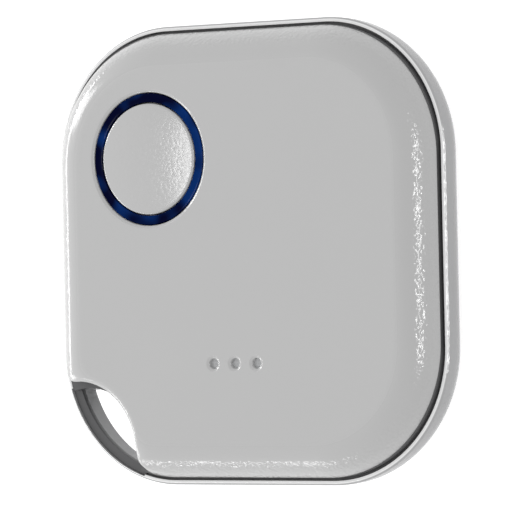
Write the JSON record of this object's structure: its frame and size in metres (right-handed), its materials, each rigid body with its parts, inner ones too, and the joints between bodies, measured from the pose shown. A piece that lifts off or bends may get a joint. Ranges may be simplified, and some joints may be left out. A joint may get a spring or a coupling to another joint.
{
  "type": "wireless push button",
  "caption": "Flat rounded-square wireless button with a round key in a blue light ring, sound holes, a pull-off rear cover and a key-ring loop at one corner.",
  "frame": {"origin": "centre of the flat rear face, on the surface that the button lies on", "axes": "+Z out of the front face, +Y up and +X right as seen from the front, with the key-ring loop at the lower left"},
  "size_m": [0.036, 0.036, 0.0062],
  "materials": {
    "front_shell": "light grey moulded shell with a fine satin grain",
    "rear_shell": "light grey moulded shell with a fine satin grain",
    "frame_plastic": "dark grey moulded frame, satin",
    "blue_lens": "clear deep blue light guide, polished",
    "board": "green solder mask on glass laminate",
    "black_resin": "black moulding resin",
    "ivory_plastic": "ivory moulded plunger",
    "white_resin": "white package resin",
    "clear_resin": "clear lens resin over phosphor",
    "bright_steel": "stamped stainless spring steel",
    "tinned_metal": "tin-plated stamping",
    "cell_steel": "nickel-plated drawn steel",
    "brass": "rolled brass disc",
    "gilt_copper": "gold-flashed copper",
    "tan_ceramic": "tan fired ceramic chip",
    "white_ceramic": "silvered white piezo ceramic",
    "seal_plastic": "dark sealing ring",
    "liner_film": "black polyester film",
    "wire_mesh": "fine woven stainless wire"
  },
  "bodies": {
    "rear_half": {"rear_cover": "rear_shell", "cell_liner": "liner_film"},
    "front_half": {"front_cover": "front_shell", "mid_frame": "frame_plastic", "light_ring": "blue_lens", "circuit_board": "board", "switch_housing": "black_resin", "switch_plate": "bright_steel", "switch_dome": "bright_steel", "switch_terminals": "tinned_metal", "led_bases": "white_resin", "led_lenses": "clear_resin", "radio_chip": "black_resin", "main_crystal": "tinned_metal", "watch_crystal": "tinned_metal", "chip_capacitors": "tan_ceramic", "chip_resistors": "black_resin", "antenna_trace": "gilt_copper", "programming_pads": "gilt_copper", "cell_can": "cell_steel", "cell_gasket": "seal_plastic", "cell_cap": "cell_steel", "positive_contact": "tinned_metal", "negative_contact": "tinned_metal", "sounder_plate": "brass", "sounder_ceramic": "white_ceramic", "sounder_contacts": "tinned_metal", "sound_mesh": "wire_mesh"},
    "key": {"button_cap": "front_shell"},
    "plunger": {"switch_plunger": "ivory_plastic"}
  },
  "joints": [
    {"name": "cover_release", "type": "slide", "parent": "rear_half", "child": "front_half", "axis": [0, 0, 1], "range_m": [0, 0.012]},
    {"name": "button_press", "type": "slide", "parent": "front_half", "child": "key", "axis": [0, 0, -1], "range_m": [0, 0.00025], "stiffness_N_per_m": 4000, "springref_m": -0.0001},
    {"name": "plunger_travel", "type": "slide", "parent": "front_half", "child": "plunger", "axis": [0, 0, -1], "range_m": [0, 0.00025], "deforming": ["switch_dome"]}
  ],
  "couplings": [
    {"joint": "plunger_travel", "follows": "button_press", "ratio": 1}
  ]
}
